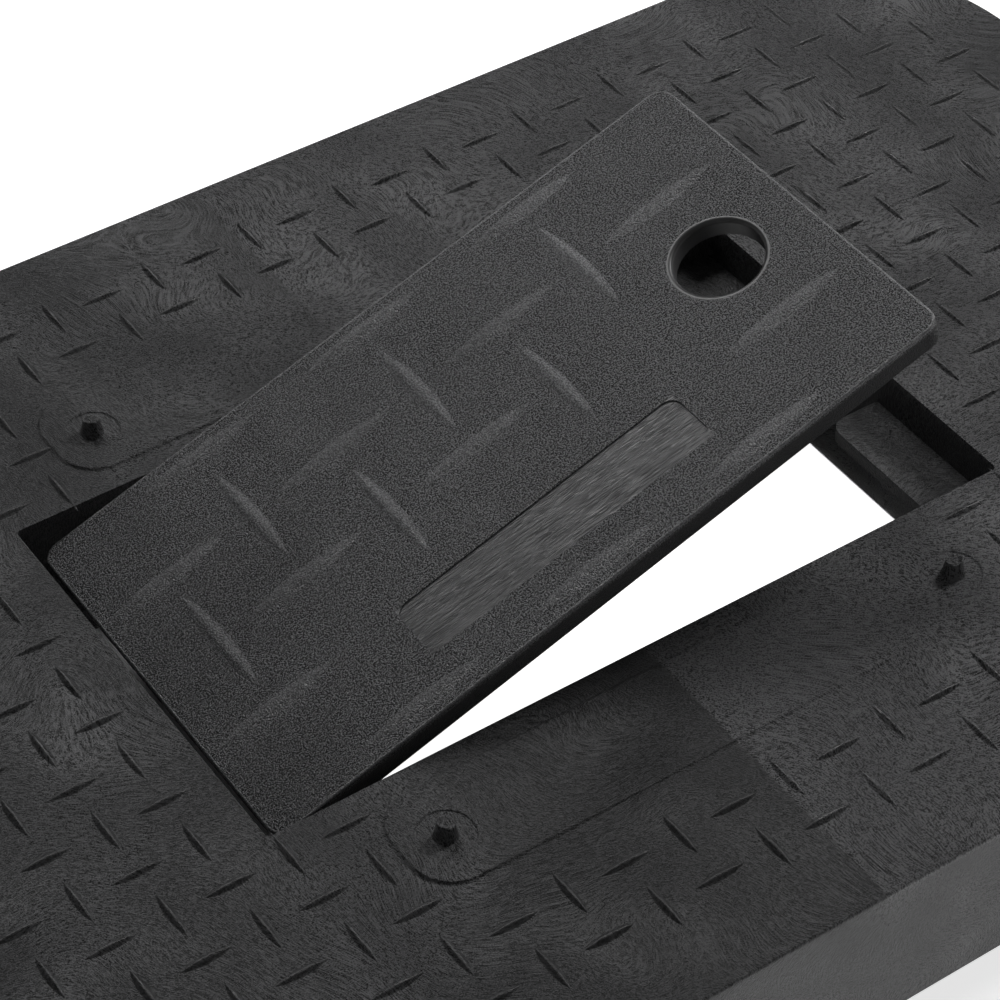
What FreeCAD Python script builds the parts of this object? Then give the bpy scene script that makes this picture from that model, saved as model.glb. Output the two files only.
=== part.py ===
import FreeCAD, Part
import math
import os

import Sketcher

# Water meter box cover: one ribbed plastic moulding with a reader lid that turns on a steel pin.
# The origin is at the middle of the bottom rim, X along the long side, Z up, all in millimetres.

os.makedirs("parts", exist_ok=True)
doc = FreeCAD.newDocument("MeterBoxCover")
sheet = doc.addObject("Spreadsheet::Sheet", "Sizes")

DRIVING_SIZES = [
    # Cover moulding
    ("cover_length", 513.0),
    ("cover_width", 328.5),
    ("cover_height", 49.2),
    ("corner_radius", 71.0),
    ("top_wall", 6.5),
    ("skirt_wall", 5.5),
    ("top_edge_break", 0.8),
    # Reader opening and the collar round it
    ("opening_length", 234.0),
    ("opening_width", 129.0),
    ("opening_corner", 1.5),
    ("collar_wall", 5.5),
    # Underside ribs
    ("rib_wall", 3.5),
    ("rib_above_rim", 22.0),
    # Rest tabs at the free end of the opening
    ("tab_length", 17.5),
    ("tab_width", 50.0),
    ("tab_wall", 4.2),
    ("tab_depth", 12.7),
    ("tab_corner", 5.0),
    # Tread lugs on the cover
    ("tread_step_long", 16.5),
    ("tread_step_cross", 16.05),
    ("tread_margin", 21.45),
    ("lug_length", 14.4),
    ("lug_width", 2.4),
    ("lug_height", 1.0),
    ("lug_foot", 0.5),
    # Plaques with the moulding gates in them
    ("plaque_length", 185.6),
    ("plaque_width", 31.4),
    ("plaque_corner", 11.5),
    ("plaque_offset", 88.0),
    ("plaque_rise", 0.5),
    ("plaque_root", 2.5),
    ("plaque_tilt", 0.2),
    ("gate_spacing", 161.6),
    ("gate_shift", -0.8),
    ("well_diameter", 16.0),
    ("well_depth", 0.4),
    ("nub_diameter", 6.2),
    ("nub_height", 4.5),
    ("nub_taper", 10.0),
    # Hinge
    ("hinge_drop", 13.0),
    ("hinge_inset", 29.7),
    ("pin_diameter", 6.0),
    ("pin_chamfer", 0.6),
    ("pin_clearance", 0.1),
    ("boss_radius", 7.0),
    ("boss_length", 4.0),
    # Reader lid
    ("lid_length", 217.0),
    ("lid_width", 121.8),
    ("lid_wall", 7.1),
    ("lid_corner", 5.0),
    ("lid_edge_break", 0.6),
    ("lid_tail", 22.1),
    ("lid_open_angle", 19.0),
    ("lid_seat_gap", 0.3),
    ("lid_rim_wall", 4.0),
    ("lid_rim_inset", 6.0),
    ("lid_end_inset", 3.0),
    ("lid_rib_wall", 3.0),
    ("lid_rib_spacing", 37.8),
    ("knuckle_radius", 6.5),
    ("knuckle_width", 22.0),
    ("knuckle_offset", 36.0),
    ("finger_hole", 25.4),
    ("finger_lip", 1.2),
    ("finger_from_end", 27.4),
    ("lid_tread_start", 21.6),
    ("lid_tread_step_long", 28.06),
    ("lid_tread_step_cross", 27.5),
    ("lid_lug_length", 38.0),
    ("lid_lug_width", 4.8),
    ("lid_lug_height", 0.9),
    ("lid_lug_foot", 0.1),
    ("panel_length", 92.8),
    ("panel_width", 18.2),
    ("panel_corner", 4.0),
    ("panel_depth", 0.4),
    ("panel_from_side", 24.8),
    ("panel_from_tail", 106.6),
    ("panel_margin", 9.0),
]

for row, (alias, number) in enumerate(DRIVING_SIZES, start=1):
    sheet.set(f"A{row}", alias)
    sheet.set(f"B{row}", str(number))
    sheet.setAlias(f"B{row}", alias)
doc.recompute()


def value(expression):
    """The number that an expression of sheet sizes comes to."""
    result = sheet.evalExpression(expression)
    return float(getattr(result, "Value", result))


def origin_plane(body, role):
    """One of a body's own base planes or axes."""
    return next(item for item in body.Origin.OriginFeatures if item.Role == role)


def new_sketch(body, name, role, x, y, z):
    """An empty sketch on a base plane of the body, moved by three expressions in its own frame."""
    sketch = body.newObject("Sketcher::SketchObject", name)
    sketch.AttachmentSupport = [(origin_plane(body, role), "")]
    sketch.MapMode = "FlatFace"
    for axis, expression in (("x", x), ("y", y), ("z", z)):
        sketch.setExpression(f"AttachmentOffset.Base.{axis}", expression)
    return sketch


def set_size(sketch, kind, references, name, expression):
    """A named dimension of a sketch that follows an expression of sheet sizes."""
    index = sketch.addConstraint(Sketcher.Constraint(kind, *references, value(expression)))
    sketch.renameConstraint(index, name)
    sketch.setExpression(f"Constraints.{name}", expression)


def draw_rectangle(sketch, length, width, x="0", y="0", prefix=""):
    """A rectangle centred on a point of the sketch."""
    first_x, first_y = f"({x}) - ({length}) / 2", f"({y}) - ({width}) / 2"
    low_x, low_y = value(first_x), value(first_y)
    high_x, high_y = low_x + value(length), low_y + value(width)
    corners = [(low_x, low_y), (high_x, low_y), (high_x, high_y), (low_x, high_y)]
    points = [FreeCAD.Vector(x, y, 0) for x, y in corners]
    lines = []
    for start, end in zip(points, points[1:] + points[:1]):
        lines.append(sketch.addGeometry(Part.LineSegment(start, end), False))
    for line, following in zip(lines, lines[1:] + lines[:1]):
        sketch.addConstraint(Sketcher.Constraint("Coincident", line, 2, following, 1))
    for line, direction in zip(lines, ("Horizontal", "Vertical") * 2):
        sketch.addConstraint(Sketcher.Constraint(direction, line))
    set_size(sketch, "DistanceX", (-1, 1, lines[0], 1), prefix + "first_x", first_x)
    set_size(sketch, "DistanceY", (-1, 1, lines[0], 1), prefix + "first_y", first_y)
    set_size(sketch, "DistanceX", (lines[0], 1, lines[0], 2), prefix + "length", length)
    set_size(sketch, "DistanceY", (lines[1], 1, lines[1], 2), prefix + "width", width)


def draw_rounded_rectangle(sketch, length, width, radius):
    """A rectangle with round corners, centred on the sketch's origin."""
    half_x, half_y, r = value(length) / 2, value(width) / 2, value(radius)
    turns = [(1, -1, 270), (1, 1, 0), (-1, 1, 90), (-1, -1, 180)]
    arcs = []
    for sign_x, sign_y, start in turns:
        centre = FreeCAD.Vector(sign_x * (half_x - r), sign_y * (half_y - r), 0)
        circle = Part.Circle(centre, FreeCAD.Vector(0, 0, 1), r)
        arc = Part.ArcOfCircle(circle, math.radians(start), math.radians(start + 90))
        arcs.append(sketch.addGeometry(arc, False))
    lines = []
    for arc, following in zip(arcs, arcs[1:] + arcs[:1]):
        start = sketch.Geometry[arc].EndPoint
        end = sketch.Geometry[following].StartPoint
        line = sketch.addGeometry(Part.LineSegment(start, end), False)
        sketch.addConstraint(Sketcher.Constraint("Tangent", arc, 2, line, 1))
        sketch.addConstraint(Sketcher.Constraint("Tangent", line, 2, following, 1))
        lines.append(line)
    for line, direction in zip(lines, ("Vertical", "Horizontal") * 2):
        sketch.addConstraint(Sketcher.Constraint(direction, line))
    for arc in arcs[1:]:
        sketch.addConstraint(Sketcher.Constraint("Equal", arcs[0], arc))
    sketch.addConstraint(Sketcher.Constraint("Symmetric", arcs[0], 3, arcs[2], 3, -1, 1))
    set_size(sketch, "Radius", (arcs[0],), "radius", radius)
    set_size(sketch, "DistanceX", (lines[2], 1, lines[0], 1), "length", length)
    set_size(sketch, "DistanceY", (lines[3], 1, lines[1], 1), "width", width)


def draw_circle(sketch, diameter):
    """A circle on the sketch's origin."""
    circle = Part.Circle(FreeCAD.Vector(0, 0, 0), FreeCAD.Vector(0, 0, 1), value(diameter) / 2)
    index = sketch.addGeometry(circle, False)
    sketch.addConstraint(Sketcher.Constraint("Coincident", index, 3, -1, 1))
    set_size(sketch, "Diameter", (index,), "diameter", diameter)


def rectangle_sketch(body, name, length, width, x="0", y="0", z="0"):
    sketch = new_sketch(body, name, "XY_Plane", x, y, z)
    draw_rectangle(sketch, length, width)
    return sketch


def rounded_sketch(body, name, length, width, radius, x="0", y="0", z="0"):
    sketch = new_sketch(body, name, "XY_Plane", x, y, z)
    draw_rounded_rectangle(sketch, length, width, radius)
    return sketch


def circle_sketch(body, name, diameter, role="XY_Plane", x="0", y="0", z="0"):
    sketch = new_sketch(body, name, role, x, y, z)
    draw_circle(sketch, diameter)
    return sketch


def pad(body, sketch, length, middle=False):
    """Material added upwards from a sketch, or to both sides of it."""
    feature = body.newObject("PartDesign::Pad", sketch.Name + "_pad")
    feature.Profile = sketch
    feature.Midplane = middle
    feature.setExpression("Length", length)
    return feature


def pocket(body, sketch, length=None, up=True, middle=False):
    """Material cut away from a sketch, through everything where no length is given."""
    feature = body.newObject("PartDesign::Pocket", sketch.Name + "_pocket")
    feature.Profile = sketch
    feature.Midplane = middle
    feature.Reversed = up
    if length is None:
        feature.Type = "ThroughAll"
    else:
        feature.setExpression("Length", length)
    return feature


def mirror(body, features, role):
    """The features copied across one of the body's base planes."""
    copy = body.newObject("PartDesign::Mirrored", features[0].Name + "_mirrored")
    copy.Originals = features
    copy.MirrorPlane = (origin_plane(body, role), [""])
    body.Tip = copy
    return copy


def break_edges(body, base, chosen, size, name):
    """A chamfer on the edges of the base feature that the test picks."""
    doc.recompute()
    names = []
    for index, edge in enumerate(base.Shape.Edges, start=1):
        if chosen(edge.BoundBox):
            names.append(f"Edge{index}")
    feature = body.newObject("PartDesign::Chamfer", name)
    feature.Base = (base, names)
    feature.setExpression("Size", size)
    return feature


def flat_at(height):
    """A test for edges that lie flat at one height."""
    return lambda box: abs(box.ZMin - height) < 0.01 and abs(box.ZMax - height) < 0.01


def new_body(name):
    body = doc.addObject("PartDesign::Body", name)
    body.Label = name
    return body


def draw_gable(sketch, width, height, foot):
    """A three-cornered section: its width is that at the sketch's own level, its foot lies below."""
    half, top, low = value(width) / 2, value(height), -value(foot)
    reach = half * (top - low) / top
    corners = [(-reach, low), (reach, low), (0, top)]
    points = [FreeCAD.Vector(x, y, 0) for x, y in corners]
    lines = []
    for start, end in zip(points, points[1:] + points[:1]):
        lines.append(sketch.addGeometry(Part.LineSegment(start, end), False))
    for line, following in zip(lines, lines[1:] + lines[:1]):
        sketch.addConstraint(Sketcher.Constraint("Coincident", line, 2, following, 1))
    sketch.addConstraint(Sketcher.Constraint("Symmetric", lines[0], 1, lines[0], 2, -2))
    sketch.addConstraint(Sketcher.Constraint("PointOnObject", lines[1], 2, -2))
    spread = f"({width}) * (1 + ({foot}) / ({height}))"
    set_size(sketch, "DistanceX", (lines[0], 1, lines[0], 2), "spread", spread)
    set_size(sketch, "DistanceY", (lines[0], 1, -1, 1), "foot", foot)
    set_size(sketch, "DistanceY", (-1, 1, lines[1], 2), "height", height)


def lug_form(name, length, width, height, foot, spans):
    """One tread lug: a lens with an arched sharp crest along X, lofted through gable sections."""
    across = FreeCAD.Rotation(FreeCAD.Vector(1, 1, 1), 120)
    fullest = 1 - (spans % 2) / spans ** 2
    sections = []
    for number in range(1, spans):
        share = 2 * number / spans - 1
        fullness = (1 - share ** 2) / fullest
        gable = doc.addObject("Sketcher::SketchObject", f"{name}_gable_{number}")
        gable.Placement = FreeCAD.Placement(FreeCAD.Vector(), across)
        gable.setExpression("Placement.Base.x", f"{share} * ({length}) / 2")
        draw_gable(gable, f"{fullness} * ({width})", f"{fullness} * ({height})", foot)
        sections.append(gable)
    end_slope = f"({fullness} * ({height}) * {spans} / ({length}))"
    for side, place in ((-1, 0), (1, spans)):
        tip = doc.addObject("Part::Vertex", f"{name}_tip_{side + 1}")
        tip.setExpression("X", f"{side} * (({length}) / 2 + {foot} / {end_slope})")
        tip.setExpression("Z", f"-{foot}")
        sections.insert(place, tip)
    form = doc.addObject("Part::Loft", name)
    form.Sections = sections
    form.Solid = True
    form.Ruled = True
    return form


def spread_lugs(name, form, places, height):
    """Copies of one lug form, each at (x, y, turn in degrees), on a face at one height."""
    copies = []
    for x, y, turn in places:
        rotation = FreeCAD.Rotation(FreeCAD.Vector(0, 0, 1), turn)
        placed = form.Shape.copy()
        placed.Placement = FreeCAD.Placement(FreeCAD.Vector(x, y, height), rotation)
        copies.append(placed)
    tread = doc.addObject("Part::Feature", name)
    tread.Shape = Part.makeCompound(copies)
    return tread


def fused(name, parts):
    piece = doc.addObject("Part::MultiFuse", name)
    piece.Shapes = parts
    piece.Label = name
    return piece


HALF_LENGTH = "Sizes.cover_length / 2"
HALF_WIDTH = "Sizes.cover_width / 2"
UNDER_TOP = "(Sizes.cover_height - Sizes.top_wall)"
HINGE_X = "(Sizes.hinge_inset - Sizes.opening_length / 2)"
HINGE_Z = "(Sizes.cover_height - Sizes.hinge_drop)"


def end_of_rib(across, half_run, half_side):
    """Half the length of a rib that ends inside the skirt, straight or in a round corner."""
    past_corner = value(f"abs({across}) - ({half_side} - Sizes.corner_radius)")
    straight = f"({half_run} - Sizes.skirt_wall / 2)"
    if past_corner <= 0:
        return straight
    reach = "(Sizes.corner_radius - Sizes.skirt_wall / 2)"
    off = f"(abs({across}) - ({half_side} - Sizes.corner_radius))"
    return f"({half_run} - Sizes.corner_radius + sqrt({reach} ^ 2 - {off} ^ 2))"


def add_cover_ribs(body):
    """A grid of ribs under the top, in line with the collar's walls, open between."""
    depth = f"{UNDER_TOP} - Sizes.rib_above_rim"
    side_line = "(Sizes.opening_width / 2 + Sizes.collar_wall / 2)"
    end_line = "(Sizes.opening_length / 2 + Sizes.collar_wall / 2)"
    side_bay = f"({HALF_WIDTH} - Sizes.skirt_wall / 2 - {side_line})"
    end_bay = f"({HALF_LENGTH} - Sizes.skirt_wall / 2 - {end_line})"
    long_lines = [f"{side_line} / 3", side_line, f"({side_line} + {side_bay} / 2)"]
    cross_lines = [f"{end_line} / 3", f"{end_line} * 2 / 3", end_line]
    cross_lines += [f"({end_line} + {end_bay} * {part} / 3)" for part in (1, 2)]
    long_ribs = new_sketch(body, "long_ribs", "XY_Plane", "0", "0", "Sizes.rib_above_rim")
    cross_ribs = new_sketch(body, "cross_ribs", "XY_Plane", "0", "0", "Sizes.rib_above_rim")
    for side, name in ((-1, "low"), (1, "high")):
        for number, line in enumerate(long_lines):
            run = f"2 * {end_of_rib(line, HALF_LENGTH, HALF_WIDTH)}"
            place = f"{side} * {line}"
            draw_rectangle(long_ribs, run, "Sizes.rib_wall", y=place, prefix=f"{name}_{number}_")
        for number, line in enumerate(cross_lines):
            run = f"2 * {end_of_rib(line, HALF_WIDTH, HALF_LENGTH)}"
            place = f"{side} * {line}"
            draw_rectangle(cross_ribs, "Sizes.rib_wall", run, x=place, prefix=f"{name}_{number}_")
    middle = f"2 * {end_of_rib('0', HALF_WIDTH, HALF_LENGTH)}"
    draw_rectangle(cross_ribs, "Sizes.rib_wall", middle, prefix="middle_")
    pad(body, long_ribs, depth)
    pad(body, cross_ribs, depth)


def add_opening(body):
    """The reader opening, with a full-depth collar round it."""
    outer_length = "Sizes.opening_length + 2 * Sizes.collar_wall"
    outer_width = "Sizes.opening_width + 2 * Sizes.collar_wall"
    collar = rectangle_sketch(body, "collar", outer_length, outer_width)
    pad(body, collar, UNDER_TOP)
    opening = rounded_sketch(
        body, "opening", "Sizes.opening_length", "Sizes.opening_width", "Sizes.opening_corner"
    )
    pocket(body, opening)


def add_rest_tabs(body):
    """Two tabs in the corners of the opening's free end, which the lid rests on."""
    length = "Sizes.tab_length + Sizes.collar_wall"
    width = "Sizes.tab_width + Sizes.collar_wall"
    tab = rounded_sketch(
        body,
        "rest_tab",
        length,
        width,
        "Sizes.tab_corner",
        x=f"(Sizes.opening_length / 2 + Sizes.collar_wall - ({length}) / 2)",
        y=f"(Sizes.opening_width / 2 + Sizes.collar_wall - ({width}) / 2)",
        z="Sizes.cover_height - Sizes.tab_depth - Sizes.tab_wall",
    )
    mirror(body, [pad(body, tab, "Sizes.tab_wall")], "XZ_Plane")


def add_pin_seats(body):
    """A boss on the outside of each collar wall, and the bore that holds the hinge pin."""
    reach = "Sizes.opening_width + 2 * (Sizes.collar_wall + Sizes.boss_length)"
    boss = circle_sketch(body, "pin_boss", "2 * Sizes.boss_radius", "XZ_Plane", x=HINGE_X, y=HINGE_Z)
    boss.setExpression(
        "AttachmentOffset.Base.z", "Sizes.opening_width / 2 + Sizes.collar_wall / 2"
    )
    seat = pad(body, boss, "Sizes.collar_wall / 2 + Sizes.boss_length")
    mirror(body, [seat], "XZ_Plane")
    bore = circle_sketch(body, "pin_bore", "Sizes.pin_diameter", "XZ_Plane", x=HINGE_X, y=HINGE_Z)
    pocket(body, bore, reach, middle=True)


def add_plaques(body):
    """The two raised plaques beside the opening, a gate well at each end of both, and the gate nubs."""
    slab = "(Sizes.plaque_root + Sizes.plaque_rise)"
    for side, name in ((-1, "near"), (1, "far")):
        plaque = rounded_sketch(
            body,
            f"{name}_plaque",
            "Sizes.plaque_length",
            "Sizes.plaque_width",
            "Sizes.plaque_corner",
            y=f"{side} * Sizes.plaque_offset",
            z="Sizes.cover_height - Sizes.plaque_root",
        )
        tilt = FreeCAD.Rotation(FreeCAD.Vector(0, 1, 0), value("Sizes.plaque_tilt"))
        plaque.AttachmentOffset = FreeCAD.Placement(plaque.AttachmentOffset.Base, tilt)
        pad(body, plaque, slab)
    for side_x in (-1, 1):
        x = f"{side_x} * Sizes.gate_spacing / 2"
        plaque_top = f"Sizes.cover_height + Sizes.plaque_rise - {x} * tan(Sizes.plaque_tilt * 1 deg)"
        floor = f"{plaque_top} - Sizes.well_depth"
        for side_y in (-1, 1):
            spot = f"{side_x + 1}{side_y + 1}"
            y = f"({side_y} * Sizes.plaque_offset + Sizes.gate_shift)"
            well = circle_sketch(body, f"gate_well_{spot}", "Sizes.well_diameter", x=x, y=y, z=floor)
            pocket(body, well)
            nub = circle_sketch(body, f"gate_nub_{spot}", "Sizes.nub_diameter", x=x, y=y, z=floor)
            stub = pad(body, nub, "Sizes.nub_height")
            stub.setExpression("TaperAngle", "-Sizes.nub_taper")


def cover_lug_places():
    """Where the cover's tread lugs stand: a basket weave that stops at the opening and plaques."""
    step_x = value("Sizes.tread_step_long")
    step_y = value("Sizes.tread_step_cross")
    edge_gap = value("Sizes.tread_margin")
    half_x = value(HALF_LENGTH)
    half_y = value(HALF_WIDTH)
    radius = value("Sizes.corner_radius")
    columns = int((half_x - edge_gap) / step_x)
    rows = int((half_y - edge_gap) / step_y + 0.5)
    opening_x = value("Sizes.opening_length") / 2
    opening_y = value("Sizes.opening_width") / 2
    plaque_x = value("Sizes.plaque_length") / 2
    plaque_y = value("Sizes.plaque_offset + Sizes.plaque_width / 2 + Sizes.lug_width")
    reach = value("Sizes.lug_length") / 2
    places = []
    for column in range(-columns, columns + 1):
        for row in range(-rows, rows):
            x = column * step_x
            y = (row + 0.5) * step_y
            along_x = (column + row) % 2 == 1
            reach_x = reach if along_x else 0
            in_opening = abs(x) < opening_x and abs(y) < opening_y
            in_plaque = abs(x) < plaque_x and abs(y) < plaque_y
            past_x = abs(x) - (half_x - radius)
            past_y = abs(y) - (half_y - radius)
            in_corner = past_x > 0 and past_y > 0 and math.hypot(past_x, past_y) > radius - edge_gap
            if in_opening or in_plaque or in_corner or abs(x) + reach_x > half_x:
                continue
            places.append((x, y, 0 if along_x else 90))
    return places


def build_cover():
    body = new_body("cover_moulding")
    block = rounded_sketch(
        body, "outline", "Sizes.cover_length", "Sizes.cover_width", "Sizes.corner_radius"
    )
    solid = pad(body, block, "Sizes.cover_height")
    break_edges(body, solid, flat_at(value("Sizes.cover_height")), "Sizes.top_edge_break", "top_edge")
    inside = rounded_sketch(
        body,
        "inside",
        "Sizes.cover_length - 2 * Sizes.skirt_wall",
        "Sizes.cover_width - 2 * Sizes.skirt_wall",
        "Sizes.corner_radius - Sizes.skirt_wall",
    )
    pocket(body, inside, UNDER_TOP)
    add_plaques(body)
    add_cover_ribs(body)
    add_opening(body)
    add_rest_tabs(body)
    add_pin_seats(body)
    lug = lug_form(
        "cover_lug", "Sizes.lug_length", "Sizes.lug_width", "Sizes.lug_height", "Sizes.lug_foot", 3
    )
    doc.recompute()
    tread = spread_lugs("cover_tread", lug, cover_lug_places(), value("Sizes.cover_height"))
    return fused("cover", [body, tread])


LID_BOTTOM = "(Sizes.hinge_drop - Sizes.lid_wall)"
LID_MIDDLE = "(Sizes.lid_length / 2 - Sizes.lid_tail)"
RIM_BOTTOM = "(Sizes.hinge_drop - Sizes.tab_depth + Sizes.lid_seat_gap)"
RIM_LENGTH = "(Sizes.lid_length - Sizes.lid_rim_inset - Sizes.lid_end_inset)"
RIM_WIDTH = "(Sizes.lid_width - 2 * Sizes.lid_rim_inset)"
RIM_MIDDLE = "(Sizes.lid_rim_inset + Sizes.lid_length - Sizes.lid_end_inset) / 2 - Sizes.lid_tail"


def add_lid_rim(body):
    """The rim that rests on the tabs, and the ribs inside it."""
    depth = f"{LID_BOTTOM} - {RIM_BOTTOM}"
    rim = rectangle_sketch(body, "rim", RIM_LENGTH, RIM_WIDTH, x=RIM_MIDDLE, z=RIM_BOTTOM)
    inner_length = f"{RIM_LENGTH} - 2 * Sizes.lid_rim_wall"
    inner_width = f"{RIM_WIDTH} - 2 * Sizes.lid_rim_wall"
    draw_rectangle(rim, inner_length, inner_width, prefix="inner_")
    pad(body, rim, depth)
    long_ribs = new_sketch(body, "lid_long_ribs", "XY_Plane", RIM_MIDDLE, "0", RIM_BOTTOM)
    for side, name in ((-1, "low"), (1, "high")):
        run = f"{RIM_LENGTH} - Sizes.lid_rim_wall"
        place = f"{side} * Sizes.finger_hole"
        draw_rectangle(long_ribs, run, "Sizes.lid_rib_wall", y=place, prefix=f"{name}_")
    pad(body, long_ribs, depth)
    cross_ribs = new_sketch(body, "lid_cross_ribs", "XY_Plane", RIM_MIDDLE, "0", RIM_BOTTOM)
    for number in range(4):
        run = f"{RIM_WIDTH} - Sizes.lid_rim_wall"
        place = f"Sizes.lid_rib_spacing * ({number} + 1) - {RIM_LENGTH} / 2"
        draw_rectangle(cross_ribs, "Sizes.lid_rib_wall", run, x=place, prefix=f"rib_{number}_")
    pad(body, cross_ribs, depth)


def draw_knuckle(sketch):
    """A hinge knuckle seen from its side: a half round under two straight flanks."""
    radius = value("Sizes.knuckle_radius")
    top = value("Sizes.hinge_drop - Sizes.lid_wall")
    circle = Part.Circle(FreeCAD.Vector(0, 0, 0), FreeCAD.Vector(0, 0, 1), radius)
    arc = sketch.addGeometry(Part.ArcOfCircle(circle, math.pi, 2 * math.pi), False)
    corners = [(radius, 0), (radius, top), (-radius, top), (-radius, 0)]
    points = [FreeCAD.Vector(x, y, 0) for x, y in corners]
    lines = []
    for start, end in zip(points, points[1:]):
        lines.append(sketch.addGeometry(Part.LineSegment(start, end), False))
    sketch.addConstraint(Sketcher.Constraint("Tangent", arc, 2, lines[0], 1))
    sketch.addConstraint(Sketcher.Constraint("Tangent", lines[2], 2, arc, 1))
    sketch.addConstraint(Sketcher.Constraint("Coincident", lines[0], 2, lines[1], 1))
    sketch.addConstraint(Sketcher.Constraint("Coincident", lines[1], 2, lines[2], 1))
    sketch.addConstraint(Sketcher.Constraint("Vertical", lines[0]))
    sketch.addConstraint(Sketcher.Constraint("Horizontal", lines[1]))
    sketch.addConstraint(Sketcher.Constraint("Vertical", lines[2]))
    sketch.addConstraint(Sketcher.Constraint("Coincident", arc, 3, -1, 1))
    set_size(sketch, "Radius", (arc,), "radius", "Sizes.knuckle_radius")
    set_size(sketch, "DistanceY", (-1, 1, lines[0], 2), "top", LID_BOTTOM)


def add_knuckles(body):
    """Two knuckles under the lid that turn on the pin."""
    knuckle = new_sketch(body, "knuckle", "XZ_Plane", "0", "0", "Sizes.knuckle_offset")
    draw_knuckle(knuckle)
    mirror(body, [pad(body, knuckle, "Sizes.knuckle_width", middle=True)], "XZ_Plane")
    bore = circle_sketch(
        body, "knuckle_bore", "Sizes.pin_diameter + 2 * Sizes.pin_clearance", "XZ_Plane"
    )
    pocket(body, bore, "Sizes.lid_width", middle=True)


def add_finger_hole(body):
    """The finger hole near the free end, with a bevelled lip above and below."""
    place = "Sizes.lid_length - Sizes.lid_tail - Sizes.finger_from_end"
    hole = circle_sketch(body, "finger_hole", "Sizes.finger_hole", x=place, z=LID_BOTTOM)
    cut = pocket(body, hole)
    centre = value(place)
    reach = value("Sizes.finger_hole") / 2 + 0.1

    def on_lip(box):
        flat = abs(box.ZMax - box.ZMin) < 0.01
        return flat and abs(box.Center.x - centre) < 0.1 and box.YMax < reach and box.YMax > reach - 0.2

    break_edges(body, cut, on_lip, "Sizes.finger_lip", "finger_lip")


def lid_lug_places():
    """Where the lid's long soft lugs stand: a wider basket weave, clear of the hole and the panel."""
    step_x = value("Sizes.lid_tread_step_long")
    step_y = value("Sizes.lid_tread_step_cross")
    first_x = value("Sizes.lid_tread_start")
    length = value("Sizes.lid_length")
    half_width = value("Sizes.lid_width") / 2
    half_lug = value("Sizes.lid_lug_length") / 2
    half_thick = value("Sizes.lid_lug_width") / 2
    hole_x = length - value("Sizes.finger_from_end")
    clear = value("Sizes.finger_hole / 2 + Sizes.finger_lip")
    panel_x = value("Sizes.panel_from_tail")
    panel_y = value("Sizes.panel_from_side") - half_width
    panel_half_x = value("Sizes.panel_length / 2 + Sizes.panel_margin")
    panel_half_y = value("Sizes.panel_width") / 2
    columns = int((length - first_x) / step_x)
    rows = int((half_width - half_thick) / step_y)
    places = []
    for column in range(columns + 1):
        for row in range(-rows, rows + 1):
            x = first_x + column * step_x
            y = row * step_y
            along_x = (column + row) % 2 == 1
            reach_x, reach_y = (half_lug, half_thick) if along_x else (half_thick, half_lug)
            near_hole = abs(x - hole_x) < reach_x + clear and abs(y) < reach_y + clear
            near_panel_x = abs(x - panel_x) < panel_half_x + reach_x
            near_panel = near_panel_x and abs(y - panel_y) < panel_half_y + reach_y
            if near_hole or near_panel or abs(y) + reach_y > half_width:
                continue
            places.append((x - value("Sizes.lid_tail"), y, 0 if along_x else 90))
    return places


def build_lid():
    """The lid, drawn shut round the hinge axis as origin, then opened to its rest angle."""
    body = new_body("lid_moulding")
    outline = rounded_sketch(
        body, "lid_outline", "Sizes.lid_length", "Sizes.lid_width", "Sizes.lid_corner",
        x=LID_MIDDLE, z=LID_BOTTOM,
    )
    plate = pad(body, outline, "Sizes.lid_wall")
    top = value("Sizes.hinge_drop")
    break_edges(body, plate, flat_at(top), "Sizes.lid_edge_break", "lid_top_edge")
    add_lid_rim(body)
    add_knuckles(body)
    panel = rounded_sketch(
        body, "panel", "Sizes.panel_length", "Sizes.panel_width", "Sizes.panel_corner",
        x="Sizes.panel_from_tail - Sizes.lid_tail",
        y="Sizes.panel_from_side - Sizes.lid_width / 2",
        z="Sizes.hinge_drop - Sizes.panel_depth",
    )
    pocket(body, panel)
    add_finger_hole(body)
    lug = lug_form(
        "lid_lug",
        "Sizes.lid_lug_length",
        "Sizes.lid_lug_width",
        "Sizes.lid_lug_height",
        "Sizes.lid_lug_foot",
        7,
    )
    doc.recompute()
    tread = spread_lugs("lid_tread", lug, lid_lug_places(), top)
    lid = fused("reader_lid", [body, tread])
    axis = FreeCAD.Vector(0, -1, 0)
    lid.Placement = FreeCAD.Placement(FreeCAD.Vector(), FreeCAD.Rotation(axis, 1))
    lid.setExpression("Placement.Rotation.Angle", "Sizes.lid_open_angle")
    lid.setExpression("Placement.Base.x", HINGE_X)
    lid.setExpression("Placement.Base.z", HINGE_Z)
    return lid


def build_pin():
    """The steel hinge pin, a rod with broken edges, flush with the outer faces of its bosses."""
    length = "(Sizes.opening_width + 2 * (Sizes.collar_wall + Sizes.boss_length))"
    rod = doc.addObject("Part::Cylinder", "rod")
    rod.setExpression("Radius", "Sizes.pin_diameter / 2")
    rod.setExpression("Height", length)
    doc.recompute()
    pin = doc.addObject("Part::Chamfer", "hinge_pin")
    pin.Base = rod
    chamfer = value("Sizes.pin_chamfer")
    rims = [index for index, edge in enumerate(rod.Shape.Edges, start=1) if edge.Closed]
    pin.Edges = [(index, chamfer, chamfer) for index in rims]
    pin.Label = "hinge_pin"
    pin.Placement = FreeCAD.Placement(FreeCAD.Vector(), FreeCAD.Rotation(FreeCAD.Vector(1, 0, 0), -90))
    pin.setExpression("Placement.Base.x", HINGE_X)
    pin.setExpression("Placement.Base.y", f"-{length} / 2")
    pin.setExpression("Placement.Base.z", HINGE_Z)
    return pin


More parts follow.
